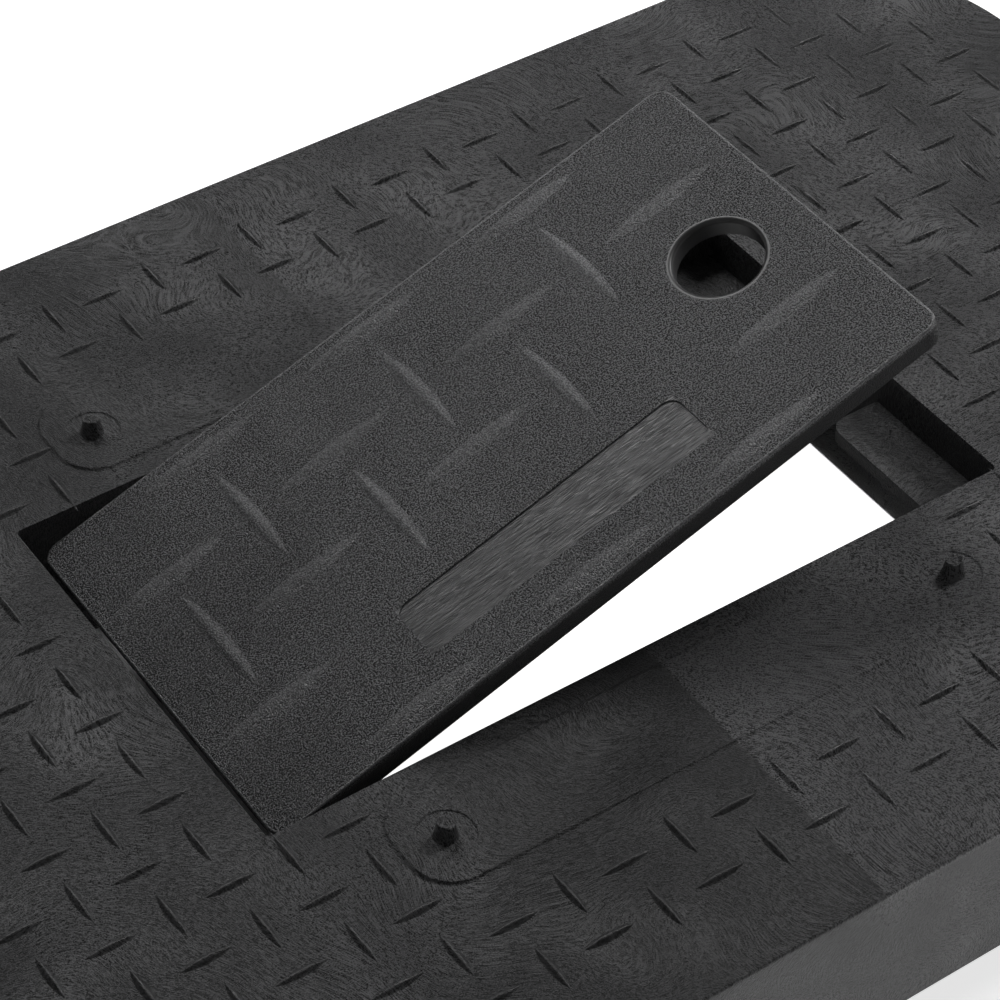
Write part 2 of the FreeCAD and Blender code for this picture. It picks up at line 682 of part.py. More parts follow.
def check_and_write(pieces):
    """Every object is sound before any file is written."""
    doc.recompute()
    for item in doc.Objects:
        if "Invalid" in item.State or "Error" in item.State:
            raise RuntimeError(f"{item.Name} failed: {item.State}")
    for piece in pieces:
        if piece.Shape.isNull() or not piece.Shape.isValid():
            raise RuntimeError(f"{piece.Label} has no valid shape")
    for piece in pieces:
        piece.Shape.exportStep(f"parts/{piece.Label}.step")
        print(piece.Label, len(piece.Shape.Solids), round(piece.Shape.Volume / 1000, 1), "cm3")


check_and_write([build_cover(), build_lid(), build_pin()])
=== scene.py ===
import math
import random

import bpy
from mathutils import Matrix, Vector


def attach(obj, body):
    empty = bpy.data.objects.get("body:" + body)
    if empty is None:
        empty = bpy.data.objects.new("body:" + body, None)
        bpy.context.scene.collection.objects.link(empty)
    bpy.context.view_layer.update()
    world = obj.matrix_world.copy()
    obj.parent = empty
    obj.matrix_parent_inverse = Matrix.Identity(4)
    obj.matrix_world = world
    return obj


# Looks of the water meter box cover: black moulded plastic, a tread of soft lugs, and a reader lid ajar.

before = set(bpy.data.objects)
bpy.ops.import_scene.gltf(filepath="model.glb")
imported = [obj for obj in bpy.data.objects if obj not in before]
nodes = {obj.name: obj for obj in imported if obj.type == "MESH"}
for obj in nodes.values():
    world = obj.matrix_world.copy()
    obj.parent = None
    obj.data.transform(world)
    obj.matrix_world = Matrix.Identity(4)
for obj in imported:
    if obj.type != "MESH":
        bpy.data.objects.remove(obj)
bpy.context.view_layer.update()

# Sizes of the solids, in metres, that the dressed parts follow
HALF_LENGTH, HALF_WIDTH, HEIGHT = 0.2565, 0.16425, 0.0492
CORNER, TOP_BREAK = 0.071, 0.0008
STEP_X, STEP_Y, TREAD_MARGIN = 0.0165, 0.01605, 0.02145
TREAD_COLUMNS, TREAD_ROWS = range(-14, 15), range(-9, 9)
OPENING_HALF_X, OPENING_HALF_Y = 0.117, 0.0645
PLAQUE_HALF_X, PLAQUE_HALF_Y, PLAQUE_CORNER = 0.0928, 0.0157, 0.0115
PLAQUE_OFFSET, PLAQUE_RISE, PLAQUE_TILT = 0.088, 0.0005, math.radians(0.2)
GATE_X, GATE_SHIFT, WELL_RADIUS, WELL_DEPTH = 0.0808, -0.0008, 0.008, 0.0004
STUB_RADIUS, STUB_HEIGHT, STUB_TAPER = 0.0031, 0.0045, math.tan(math.radians(10))
LUG_LENGTH, LUG_WIDTH, LUG_HEIGHT = 0.0144, 0.0024, 0.001
HINGE = Vector((-0.0873, 0, 0.0362))
LID_ANGLE = math.radians(19)
LID_TOP, LID_BREAK, LID_CORNER = 0.013, 0.0006, 0.005
LID_LENGTH, LID_HALF_WIDTH, LID_TAIL = 0.217, 0.0609, 0.0221
LID_STEP_X, LID_STEP_Y, LID_TREAD_START = 0.02806, 0.0275, 0.0216
LID_TREAD_COLUMNS, LID_TREAD_ROWS = range(7), range(-2, 3)
LID_LUG_LENGTH, LID_LUG_WIDTH, LID_LUG_HEIGHT = 0.038, 0.0048, 0.0009
HOLE_X, HOLE_RADIUS, HOLE_LIP = 0.1675, 0.0127, 0.0012
PANEL_X, PANEL_Y, PANEL_HALF_X, PANEL_HALF_Y = 0.0845, -0.0361, 0.0464, 0.0091

# The closed lid's own frame, with the hinge as origin, turned to where the lid stands
LID_FRAME = Matrix.Translation(HINGE) @ Matrix.Rotation(-LID_ANGLE, 4, "Y")

# Length, width and height of the soft lugs, which are a little larger than the gables that they hide
SOFT_LUG = (LUG_LENGTH * 1.04, LUG_WIDTH * 1.2, LUG_HEIGHT * 1.09)
SOFT_LID_LUG = (LID_LUG_LENGTH * 1.02, LID_LUG_WIDTH * 1.15, LID_LUG_HEIGHT * 1.05)
LUG_SUNK, LUG_THINNEST, LUG_TAPER = 0.03, 0.02, 0.8

# How far a trim stands above the faces of the solids, and how far its ends dip under them
SKIN, DIP = 0.00002, 0.00006
PLAQUE_SKIN, TUCK = 0.000012, 0.00005

# Profiles, as outward millimetres with shares of the plaque's rise or of a well's depth
PLAQUE_STEP = (
    (-0.35, 1.0), (0.05, 1.0), (0.2, 0.9), (0.36, 0.62), (0.5, 0.34), (0.68, 0.12), (0.9, 0.02),
)
WELL_RIM = (
    (0.9, -0.12), (0.55, 0.03), (0.25, 0.03), (0.0, -0.12),
    (-0.16, -0.5), (-0.34, -0.86), (-0.6, -0.97), (-0.9, -1.1),
)

# The torn sprue stubs, in metres. The dish has shares of the radius, heights over the plain stub, and tears.
STUB_PROUD, STUB_TEAR, STUB_SLANT, STUB_FLARE, STUB_ROUGH = 0.0005, 0.00045, 0.0004, 0.0002, 0.00005
STUB_BROW, STUB_BROW_RISE = 0.86, 0.00006
STUB_DISH = ((0.68, 0.00022, 0.0001), (0.4, 0.00008, 0.0), (0.02, 0.00004, 0.0))

# Tones are linear greys. A pattern runs from the darkest share of a grey to all of it.
COVER_GREY, LID_GREY, FLOOR_GREY, PIN_GREYS = 0.125, 0.2, 0.86, (0.35, 0.6)
DARKEST, BLUE_CAST = 0.1, 1.03

# How much grain the softer forms show, where the solids have 1. A lower relief also paints a form darker:
# painted shade meant for the lugs' shaded flanks, and the lid's rim darkens with it.
FULL_RELIEF, TREAD_RELIEF, LID_TREAD_RELIEF, LID_RIM_RELIEF = 1.0, 0.3, 0.55, 0.3

# Most of a slow noise lies in this span, and strokes have this scale down into the plastic
SLOW_SPAN = (0.3, 0.7)
STROKE_DEPTH_SCALE = 700.0

# The cover's surface: scales per metre, and the spans of noise that give tones and roughness
HAIR_SCALES, SPECK_SCALE, SWIRL_SCALE, PATCH_SCALE = (480.0, 2900.0), 2300.0, 16.0, 19.0
HAIR_TURN, SWIRL, SPECK_SHARE = 0.95, 0.09, 0.4
FIBRE_SPAN, FIBRE_TONES, FIBRE_ROUGHNESS = (0.43, 0.585), (0.0, 1.2), (-0.12, 0.1)
PATCH_TONES, SHADE_SPAN, SHADE_ROUGHNESS = (0.72, 1.3), (0.6, 1.5), (0.46, 0.3)
# The tone's share grows with relief, so the lugs are painted darker: painted shade for their flanks
COVER_TONE_BASE, COVER_RELIEF_SHADE_GAIN, COVER_BUMP, COVER_SPECULAR = 0.28, 0.46, 0.0009, 0.36

# Marks of the mould's inserts on the cover, with painted shadow and painted light among them: where they
# change, in metres, and their tones
INSERT_LINE, NEAR_TO_FAR, MARK_FADE, PLAQUE_FADE = (-0.0036, -0.0024), (-0.063, 0.0), 0.03, 0.0005
# Near side left of the seam: darker, partly a duller insert and partly painted shadow of the raised lid
DULL_AND_SHADOW_ENDS, DULL_AND_SHADOW_TONES = (-0.085, 0.2), (1.0, 0.62)
# Near side right of the seam: paler, partly the insert's tone and partly painted light over the lid's cast
# shadow; darker towards the right end
PALE_AND_LIT_ENDS, PALE_AND_LIT_TONES = (-0.2, 0.125), (0.66, 1.6)
NEAR_PLAQUE_ENDS = (-PLAQUE_OFFSET - PLAQUE_HALF_Y, -PLAQUE_OFFSET + PLAQUE_HALF_Y)
# The near plaque is painted paler still, painted light; the sides are painted a shade darker than the top,
# painted shade
PLAQUE_LIGHT_TONES, FAR_TONES, SIDE_PAINTED_SHADE = (1.0, 1.4), (0.95, 1.35), 0.88
COVER_TOP_SPAN = (HEIGHT - 0.002, HEIGHT - 0.0005)

# The lid's surface, in the same way
GRAIN_SCALE, LID_PATCH_SCALE, BRUSH_SCALES, BRUSH_TURN = 2300.0, 22.0, (70.0, 3000.0), 0.06
GRAIN_SPAN, GRAIN_ROUGHNESS, FLECK_TONE = (0.45, 0.57), (0.14, 0.4), 0.6
BRUSH_SPAN, BRUSH_PATTERN = (0.34, 0.66), (0.46, 0.56)
# The lid's free end is painted paler along LID_RUN: a painted highlight for the lights' reflection there.
# Its roughness changes along the same run.
LID_RUN, PAINTED_LIGHT_TONES, RUN_ROUGHNESS, LID_PATCH_TONES = (0.0, 0.18), (0.9, 1.9), (0.9, 1.15), (0.8, 1.22)
LIP_SPAN, LID_FACE_SPAN, PANEL_FADE = (0.0141, 0.0145), (LID_TOP - 0.0018, LID_TOP - 0.001), 0.0001
# The lid's sides are painted nearly black, painted shade; the lip and the panel have their own darker tones
LIP_TONE, LID_SIDE_PAINTED_SHADE, PANEL_TONE = 0.03, 0.1, 0.35
# Likewise on the lid, the ribs and the rim are painted darker: painted shade
LID_TONE_BASE, LID_RELIEF_SHADE_GAIN, LID_BUMP, LID_SPECULAR = 0.4, 0.3, 0.0013, 0.6
PANEL_RELIEF, SMOOTH_ROUGHNESS = 0.8, 0.4

# The hinge pin's surface
RING_SCALES, PIN_ROUGHNESS, PIN_RELIEF, PIN_BUMP = (150, 2500, 150), (0.25, 0.45), 0.3, 0.0001

# Stage: the floor glows as a lit table does, though not under the cover
FLOOR_HALF, FLOOR_GLOW, GLOW_INSET, GLOW_FADE = 12.0, 0.7, 0.02, 0.01
WINDOW_LEFT, WINDOW_RIGHT, WINDOW_HALF_WIDTH, WINDOW_UP, WINDOW_GLOW = -0.072, 0.1165, 0.064, 0.0002, 1.1
SURROUND = 0.08

# Softboxes: name, place and side in metres, power in watts
LIGHTS = (
    ("right_softbox", (1.5, 0.25, 1.4), 0.5, 15),
    ("back_softbox", (0.2, 1.4, 1.6), 0.8, 16.5),
    ("front_fill", (-1.2, -1.3, 1.5), 1.6, 1.5),
)

# Camera, solved from the photograph
CAMERA_PLACE = Vector((-0.3620, -0.5183, 0.6565))
CAMERA_VIEW = Vector((0.40995, 0.59321, -0.69285))
CAMERA_ROLL = math.radians(0.26)
CAMERA_LENS, CAMERA_SENSOR = 116.44, 36.0


def set_inputs(node, inputs):
    """Gives inputs of a node their values, or links them where a socket is given."""
    for name, given in dict(inputs).items():
        if isinstance(given, bpy.types.NodeSocket):
            node.id_data.links.new(given, node.inputs[name])
        else:
            node.inputs[name].default_value = given


def add_node(tree, kind, inputs=(), **settings):
    """A shader node with its settings, and its inputs given as values or as sockets to link."""
    node = tree.nodes.new(kind)
    for name, setting in settings.items():
        setattr(node, name, setting)
    set_inputs(node, inputs)
    return node


def new_material(name):
    """An empty node material with its shader and output."""
    material = bpy.data.materials.new(name)
    material.use_nodes = True
    tree = material.node_tree
    tree.nodes.clear()
    shader = add_node(tree, "ShaderNodeBsdfPrincipled")
    add_node(tree, "ShaderNodeOutputMaterial", {"Surface": shader.outputs["BSDF"]})
    return material, tree, shader


def own_place(tree):
    """The point's place in the part's frame, in metres."""
    return add_node(tree, "ShaderNodeTexCoord").outputs["Object"]


def place(tree, source, scale=(1, 1, 1), turn=(0.0, 0.0, 0.0), shift=(0.0, 0.0, 0.0)):
    """A place that is scaled, turned and shifted."""
    mapping = add_node(
        tree, "ShaderNodeMapping", {"Vector": source, "Scale": scale, "Rotation": turn, "Location": shift}
    )
    return mapping.outputs["Vector"]


def lid_place(tree):
    """The point's place in the closed lid's own frame."""
    shift = tuple(LID_FRAME.inverted().translation)
    return place(tree, own_place(tree), turn=(0, LID_ANGLE, 0), shift=shift)


def noise(tree, vector, scale, detail=3.0, roughness=0.55, distortion=0.0):
    """A noise value, mostly near a half."""
    node = add_node(tree, "ShaderNodeTexNoise", {
        "Vector": vector, "Scale": scale, "Detail": detail, "Roughness": roughness, "Distortion": distortion,
    })
    return node.outputs["Fac"]


def spread(tree, value, reach, span=(0.0, 1.0)):
    """A value stretched from its span to another reach, and clamped."""
    node = add_node(tree, "ShaderNodeMapRange", {
        "Value": value, "From Min": span[0], "From Max": span[1], "To Min": reach[0], "To Max": reach[1],
    })
    return node.outputs["Result"]


def combined(tree, operation, first, second):
    """Two values joined by an operation such as ADD."""
    return add_node(tree, "ShaderNodeMath", {0: first, 1: second}, operation=operation).outputs["Value"]


def times(tree, product, *factors):
    """The product of values."""
    for factor in factors:
        product = combined(tree, "MULTIPLY", product, factor)
    return product


def mixed(tree, factor, first, second):
    """A value between two others."""
    return add_node(tree, "ShaderNodeMix", {"Factor": factor, 2: first, 3: second}).outputs[0]


def grey(tree, factor, dark, light):
    """A colour between two greys with a faint blue cast."""
    ramp = add_node(tree, "ShaderNodeValToRGB", {"Fac": factor})
    for element, tone in zip(ramp.color_ramp.elements, (dark, light)):
        element.color = (tone, tone, tone * BLUE_CAST, 1)
    return ramp.outputs["Color"]


def bump(tree, height, strength, distance):
    """A normal bent by a height pattern."""
    node = add_node(tree, "ShaderNodeBump", {"Strength": strength, "Distance": distance, "Height": height})
    return node.outputs["Normal"]


def swirled(tree, source, amount):
    """Places pushed about by a slow noise, so that strokes drawn on them swirl."""
    drift = add_node(
        tree, "ShaderNodeTexNoise", {"Vector": source, "Scale": SWIRL_SCALE, "Detail": 1.0, "Roughness": 0.5}
    )
    offset = add_node(
        tree, "ShaderNodeVectorMath",
        {0: drift.outputs["Color"], 1: (amount, amount, amount), 2: source}, operation="MULTIPLY_ADD",
    )
    return offset.outputs["Vector"]


def strokes(tree, source, turn, scales):
    """Fine hair-like strokes that run along one direction of the surface."""
    turned = place(tree, source, turn=(0, 0, turn))
    where = place(tree, turned, (*scales, STROKE_DEPTH_SCALE))
    return noise(tree, where, 1.0, detail=2.0, roughness=0.65)


def split(tree, vector):
    """The coordinates of a place."""
    return add_node(tree, "ShaderNodeSeparateXYZ", {"Vector": vector}).outputs


def band(tree, coordinate, ends, soft):
    """One between two ends of a coordinate, and nought outside them."""
    low, high = ends
    rise = spread(tree, coordinate, (0, 1), (low - soft, low + soft))
    fall = spread(tree, coordinate, (1, 0), (high - soft, high + soft))
    return times(tree, rise, fall)


def block(tree, axes, centre, half_sizes, soft):
    """One inside a rectangle seen from above, and nought outside it."""
    sides = []
    for axis, middle, half_size in zip("XY", centre, half_sizes):
        sides.append(band(tree, axes[axis], (middle - half_size, middle + half_size), soft))
    return times(tree, *sides)


def insert_marks_and_painted_light(tree, axes):
    """Tones of the cover's top on either side of the mould inserts' crisp seam: partly the inserts' own
    tones, partly painted shadow and painted light on the near side. The sides are even, a painted shade
    darker than the top.
    """
    right = spread(tree, axes["X"], (0, 1), INSERT_LINE)
    # Darker left of the seam on the near side: a duller insert and painted shadow of the raised lid
    dull_and_painted_shadow = spread(tree, band(tree, axes["X"], DULL_AND_SHADOW_ENDS, MARK_FADE), DULL_AND_SHADOW_TONES)
    # Paler right of the seam on the near side: the insert's tone and painted light over the lid's cast
    # shadow, darker towards the right end
    pale_and_painted_light = spread(tree, band(tree, axes["X"], PALE_AND_LIT_ENDS, MARK_FADE), PALE_AND_LIT_TONES)
    # The near plaque painted paler still: painted light
    plaque = spread(tree, band(tree, axes["Y"], NEAR_PLAQUE_ENDS, PLAQUE_FADE), PLAQUE_LIGHT_TONES)
    near = mixed(tree, right, dull_and_painted_shadow, times(tree, pale_and_painted_light, plaque))
    far = spread(tree, right, FAR_TONES)
    top = mixed(tree, spread(tree, axes["Y"], (1, 0), NEAR_TO_FAR), far, near)
    # The sides painted a shade darker than the top: painted shade
    return mixed(tree, spread(tree, axes["Z"], (0, 1), COVER_TOP_SPAN), SIDE_PAINTED_SHADE, top)


def cover_plastic(name, relief):
    """Moulded plastic with fine flow strokes that swirl, random patches, and the marks of the mould's
    inserts, which also carry painted shadow, painted light and painted shade.
    """
    material, tree, shader = new_material(name)
    source = own_place(tree)
    hair = strokes(tree, swirled(tree, source, SWIRL), HAIR_TURN, HAIR_SCALES)
    fibre = mixed(tree, SPECK_SHARE, hair, noise(tree, source, SPECK_SCALE, detail=1.0))
    patches = spread(tree, noise(tree, source, PATCH_SCALE, distortion=1.0), PATCH_TONES, SLOW_SPAN)
    shade = times(tree, patches, insert_marks_and_painted_light(tree, split(tree, source)))
    flecks = spread(tree, fibre, FIBRE_TONES, FIBRE_SPAN)
    # A lower relief paints the colour darker: painted shade on the lugs
    tone = times(tree, flecks, shade, COVER_TONE_BASE + COVER_RELIEF_SHADE_GAIN * relief)
    smoothness = spread(tree, shade, SHADE_ROUGHNESS, SHADE_SPAN)
    glint = spread(tree, fibre, FIBRE_ROUGHNESS, FIBRE_SPAN)
    set_inputs(shader, {
        "Base Color": grey(tree, tone, COVER_GREY * DARKEST, COVER_GREY),
        "Roughness": combined(tree, "ADD", smoothness, glint),
        "Normal": bump(tree, fibre, relief, COVER_BUMP),
        "Specular IOR Level": COVER_SPECULAR,
    })
    return material


def lid_plastic(name, relief):
    """Moulded plastic with a fine leathery pebble grain, a brushed bare panel, and smooth lip and sides. The
    sides are painted dark, painted shade, and the free end paler, painted highlight.
    """
    material, tree, shader = new_material(name)
    where = lid_place(tree)
    axes = split(tree, where)
    flat = add_node(tree, "ShaderNodeVectorMath", {0: where, 1: (1, 1, 0)}, operation="MULTIPLY")
    from_hole = add_node(
        tree, "ShaderNodeVectorMath", {0: flat.outputs["Vector"], 1: (HOLE_X, 0, 0)}, operation="DISTANCE"
    )
    beyond_lip = spread(tree, from_hole.outputs["Value"], (0, 1), LIP_SPAN)
    on_face = spread(tree, axes["Z"], (0, 1), LID_FACE_SPAN)
    on_panel = block(tree, axes, (PANEL_X, PANEL_Y), (PANEL_HALF_X, PANEL_HALF_Y), PANEL_FADE)

    grain = noise(tree, where, GRAIN_SCALE, detail=1.0, roughness=0.5)
    brushed = spread(tree, strokes(tree, where, BRUSH_TURN, BRUSH_SCALES), BRUSH_PATTERN, BRUSH_SPAN)
    pattern = mixed(tree, on_panel, grain, brushed)

    patches = spread(tree, noise(tree, where, LID_PATCH_SCALE, detail=2.0), LID_PATCH_TONES, SLOW_SPAN)
    # A paler free end: painted highlight
    painted_light_end = spread(tree, axes["X"], PAINTED_LIGHT_TONES, LID_RUN)
    # Sides painted dark, painted shade; the panel keeps its own darker tone
    painted_side_shade_and_panel_tone = mixed(tree, on_face, LID_SIDE_PAINTED_SHADE, mixed(tree, on_panel, 1.0, PANEL_TONE))
    shade = times(tree, patches, painted_light_end, painted_side_shade_and_panel_tone)
    flecks = spread(tree, pattern, (FLECK_TONE * (1 - relief), FLECK_TONE * (1 + relief)), GRAIN_SPAN)
    # A lower relief paints the colour darker: painted shade on the ribs and the rim
    tone = times(tree, flecks, shade, LID_TONE_BASE + LID_RELIEF_SHADE_GAIN * relief)

    duller_end = spread(tree, axes["X"], RUN_ROUGHNESS, LID_RUN)
    glint = times(tree, spread(tree, pattern, GRAIN_ROUGHNESS, GRAIN_SPAN), duller_end)
    strength = times(tree, mixed(tree, on_panel, relief, PANEL_RELIEF), beyond_lip)
    set_inputs(shader, {
        "Base Color": grey(tree, mixed(tree, beyond_lip, LIP_TONE, tone), LID_GREY * DARKEST, LID_GREY),
        "Roughness": mixed(tree, times(tree, on_face, beyond_lip), SMOOTH_ROUGHNESS, glint),
        "Normal": bump(tree, pattern, strength, LID_BUMP),
        "Specular IOR Level": LID_SPECULAR,
    })
    return material


def pin_steel():
    """Drawn steel rod, faintly ringed and dulled."""
    material, tree, shader = new_material("pin_steel")
    rings = noise(tree, place(tree, own_place(tree), RING_SCALES), 1.0)
    set_inputs(shader, {
        "Base Color": grey(tree, rings, *PIN_GREYS),
        "Roughness": spread(tree, rings, PIN_ROUGHNESS, SLOW_SPAN),
        "Normal": bump(tree, rings, PIN_RELIEF, PIN_BUMP),
        "Metallic": 1.0,
    })
    return material


def paint(piece, material):
    """Gives a piece one material."""
    piece.data.materials.clear()
    piece.data.materials.append(material)


def add_piece(name, points, faces, material, body):
    """A smooth-shaded mesh piece that rides on a body."""
    mesh = bpy.data.meshes.new(name)
    mesh.from_pydata(points, [], faces)
    mesh.update()
    mesh.shade_smooth()
    piece = bpy.data.objects.new(name, mesh)
    bpy.context.scene.collection.objects.link(piece)
    paint(piece, material)
    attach(piece, body)


def grid_faces(columns, rows, first=0, closed=False):
    """The faces between columns of points, each column with as many points as rows."""
    faces = []
    for column in range(columns if closed else columns - 1):
        start = first + column * rows
        following = first + (column + 1) % columns * rows
        for row in range(rows - 1):
            faces.append((start + row, following + row, following + row + 1, start + row + 1))
    return faces


def soft_lug(length, width, height, sharpness, columns, rows):
    """One lug along X with a bell-shaped section: thin at its tips, its crest rounded, its foot soft."""
    points = []
    for column in range(columns):
        along = -1 + 2 * column / (columns - 1)
        fullness = 1 - abs(along) ** sharpness
        half_width = width / 2 * max(fullness, LUG_THINNEST) ** LUG_TAPER
        for row in range(rows):
            across = -1 + 2 * row / (rows - 1)
            bell = (1 - across ** 2) ** 2
            points.append((along * length / 2, across * half_width, height * (fullness * bell - LUG_SUNK)))
    return points, grid_faces(columns, rows)


def spread_lugs(lug, places, height, seed, unevenness):
    """One mesh of copies of a lug at (x, y, turned) places, each a little unlike the others."""
    chance = random.Random(seed)
    lug_points, lug_faces = lug
    points, faces = [], []
    for x, y, turned in places:
        first = len(points)
        swell = 1 + chance.uniform(0, unevenness)
        wide = 1 + chance.uniform(0, unevenness)
        for along, across, up in lug_points:
            across *= wide
            if up > 0:
                up *= swell
            spot = (x - across, y + along) if turned else (x + along, y + across)
            points.append((*spot, height + up))
        faces += [tuple(first + index for index in face) for face in lug_faces]
    return points, faces


def cover_lug_places():
    """The basket weave of the cover: it stops at the opening, the plaques and the round corners."""
    places = []
    for column in TREAD_COLUMNS:
        for row in TREAD_ROWS:
            x, y = column * STEP_X, (row + 0.5) * STEP_Y
            turned = (column + row) % 2 == 0
            in_opening = abs(x) < OPENING_HALF_X and abs(y) < OPENING_HALF_Y
            in_plaque = abs(x) < PLAQUE_HALF_X and abs(y) < PLAQUE_OFFSET + PLAQUE_HALF_Y + LUG_WIDTH
            past_x, past_y = abs(x) - HALF_LENGTH + CORNER, abs(y) - HALF_WIDTH + CORNER
            in_corner = past_x > 0 and past_y > 0 and math.hypot(past_x, past_y) > CORNER - TREAD_MARGIN
            if not (in_opening or in_plaque or in_corner):
                places.append((x, y, turned))
    return places


def lid_lug_places():
    """The wider weave of the lid, in the closed lid's own frame: it stops at the hole and the panel."""
    places = []
    for column in LID_TREAD_COLUMNS:
        for row in LID_TREAD_ROWS:
            turned = (column + row) % 2 == 0
            on_edge = turned and abs(row) == 2
            at_hole = row == 0 and column > 4
            at_panel = row == -1 and 0 < column < 6
            if not (on_edge or at_hole or at_panel):
                x = LID_TREAD_START - LID_TAIL + column * LID_STEP_X
                places.append((x, row * LID_STEP_Y, turned))
    return places


def gate_places():
    """The centres of the four gate wells."""
    sides = ((-1, -1), (-1, 1), (1, -1), (1, 1))
    return [(side_x * GATE_X, side_y * PLAQUE_OFFSET + GATE_SHIFT) for side_x, side_y in sides]


def rounded_outline(half_x, half_y, radius, steps):
    """Points of a rounded rectangle with their outward directions, anticlockwise."""
    outline = []
    for sign_x, sign_y, start in ((1, 1, 0), (-1, 1, 90), (-1, -1, 180), (1, -1, 270)):
        for step in range(steps + 1):
            angle = math.radians(start + 90 * step / steps)
            outward = (math.cos(angle), math.sin(angle))
            x = sign_x * (half_x - radius) + radius * outward[0]
            y = sign_y * (half_y - radius) + radius * outward[1]
            outline.append((x, y, *outward))
    return outline


def circle(radius, steps, side=1):
    """Points of a circle with their directions away from its centre, or with side -1 towards it."""
    outline = []
    for step in range(steps):
        angle = side * 2 * math.pi * step / steps
        x, y = math.cos(angle), math.sin(angle)
        outline.append((radius * x, radius * y, side * x, side * y))
    return outline


def divided(outline, longest):
    """The outline with more points on its straight sides."""
    points = []
    for start, end in zip(outline, outline[1:] + outline[:1]):
        parts = max(1, math.ceil(math.dist(start[:2], end[:2]) / longest))
        for part in range(parts):
            share = part / parts
            points.append(tuple(a + (b - a) * share for a, b in zip(start, end)))
    return points


def swept(outline, profile, centre=(0.0, 0.0), frame_matrix=None):
    """A profile of (outward, up) points, which may change with x, carried round an outline."""
    points = []
    for x, y, out_x, out_y in outline:
        for outward, up in profile(x + centre[0]):
            point = Vector((centre[0] + x + out_x * outward, centre[1] + y + out_y * outward, up))
            points.append(tuple(frame_matrix @ point) if frame_matrix else tuple(point))
    rows = len(points) // len(outline)
    return points, grid_faces(len(outline), rows, closed=True)


def rounded_edge(radius, top, steps=7):
    """A profile that rounds off an edge whose chamfer has the same size. Its ends dip under the faces."""
    reach = radius + SKIN
    arc = [(-radius * 1.6, top - DIP), (-radius * 1.15, top + SKIN)]
    for step in range(steps + 1):
        angle = math.pi / 2 * step / steps
        arc.append((-radius + reach * math.sin(angle), top - radius + reach * math.cos(angle)))
    arc += [(SKIN, top - radius * 1.2), (-DIP, top - radius * 1.8)]
    return lambda x: arc


def plaque_top(x):
    """The height of the tilted plaques."""
    return HEIGHT + PLAQUE_RISE - x * math.tan(PLAQUE_TILT)


def plaque_edge(x):
    """A soft step from the plaque's face down to the tread. Its ends dip under the faces."""
    rise = plaque_top(x) - HEIGHT
    step = [(out / 1000, HEIGHT + rise * share + PLAQUE_SKIN) for out, share in PLAQUE_STEP]
    return [(-0.0011, HEIGHT + rise + PLAQUE_SKIN - DIP), *step, (0.0013, HEIGHT - TUCK)]


def well_rim(floor):
    """A profile that rolls from the plaque's face down to a well's floor."""
    def profile(x):
        top = plaque_top(x)
        return [(out / 1000, top + share * (top - floor)) for out, share in WELL_RIM]
    return profile


def add_plaque_edges(material):
    """The soft borders of both plaques."""
    outline = rounded_outline(PLAQUE_HALF_X, PLAQUE_HALF_Y, PLAQUE_CORNER, steps=14)
    outline = divided(outline, longest=0.004)
    for side, name in ((-1, "near"), (1, "far")):
        points, faces = swept(outline, plaque_edge, (0, side * PLAQUE_OFFSET))
        add_piece(f"{name}_plaque_edge", points, faces, material, "box_cover")


def add_well_rims(material):
    """The soft rims of the gate wells."""
    points, faces = [], []
    outline = circle(WELL_RADIUS, steps=56)
    for centre in gate_places():
        profile = well_rim(plaque_top(centre[0]) - WELL_DEPTH)
        rim_points, rim_faces = swept(outline, profile, centre)
        faces += [tuple(len(points) + index for index in face) for face in rim_faces]
        points += rim_points
    add_piece("well_rims", points, faces, material, "box_cover")


def add_gate_stubs(material):
    """The sheared sprue stubs: rough tapered posts with a torn, dished top."""
    chance = random.Random(11)
    points, faces = [], []
    around, levels = 28, 9
    for centre_x, centre_y in gate_places():
        floor = plaque_top(centre_x) - WELL_DEPTH
        torn = [chance.uniform(-1, 1) for _ in range(around)]
        torn = [(torn[i - 1] + 2 * torn[i] + torn[(i + 1) % around]) / 4 for i in range(around)]
        lean = chance.uniform(0, 2 * math.pi)
        first = len(points)
        for step in range(around):
            angle = 2 * math.pi * step / around
            crest = STUB_HEIGHT + STUB_PROUD + STUB_TEAR * torn[step] + STUB_SLANT * math.cos(angle - lean)
            column = []
            for level in range(levels):
                share = level / (levels - 1)
                up = share * crest
                flare = STUB_FLARE * (1 - share) ** 5
                rough = STUB_ROUGH * (1 + torn[(step + level * 3) % around])
                column.append((STUB_RADIUS - STUB_TAPER * min(up, STUB_HEIGHT) + flare + rough, up - TUCK))
            rim = column[-1][0]
            column.append((rim * STUB_BROW, crest + STUB_BROW_RISE))
            for share, rise, tear in STUB_DISH:
                column.append((rim * share, STUB_HEIGHT + rise + tear * torn[step]))
            for radius, up in column:
                x, y = centre_x + radius * math.cos(angle), centre_y + radius * math.sin(angle)
                points.append((x, y, floor + up))
        faces += grid_faces(around, len(column), first, closed=True)
    add_piece("gate_stubs", points, faces, material, "box_cover")


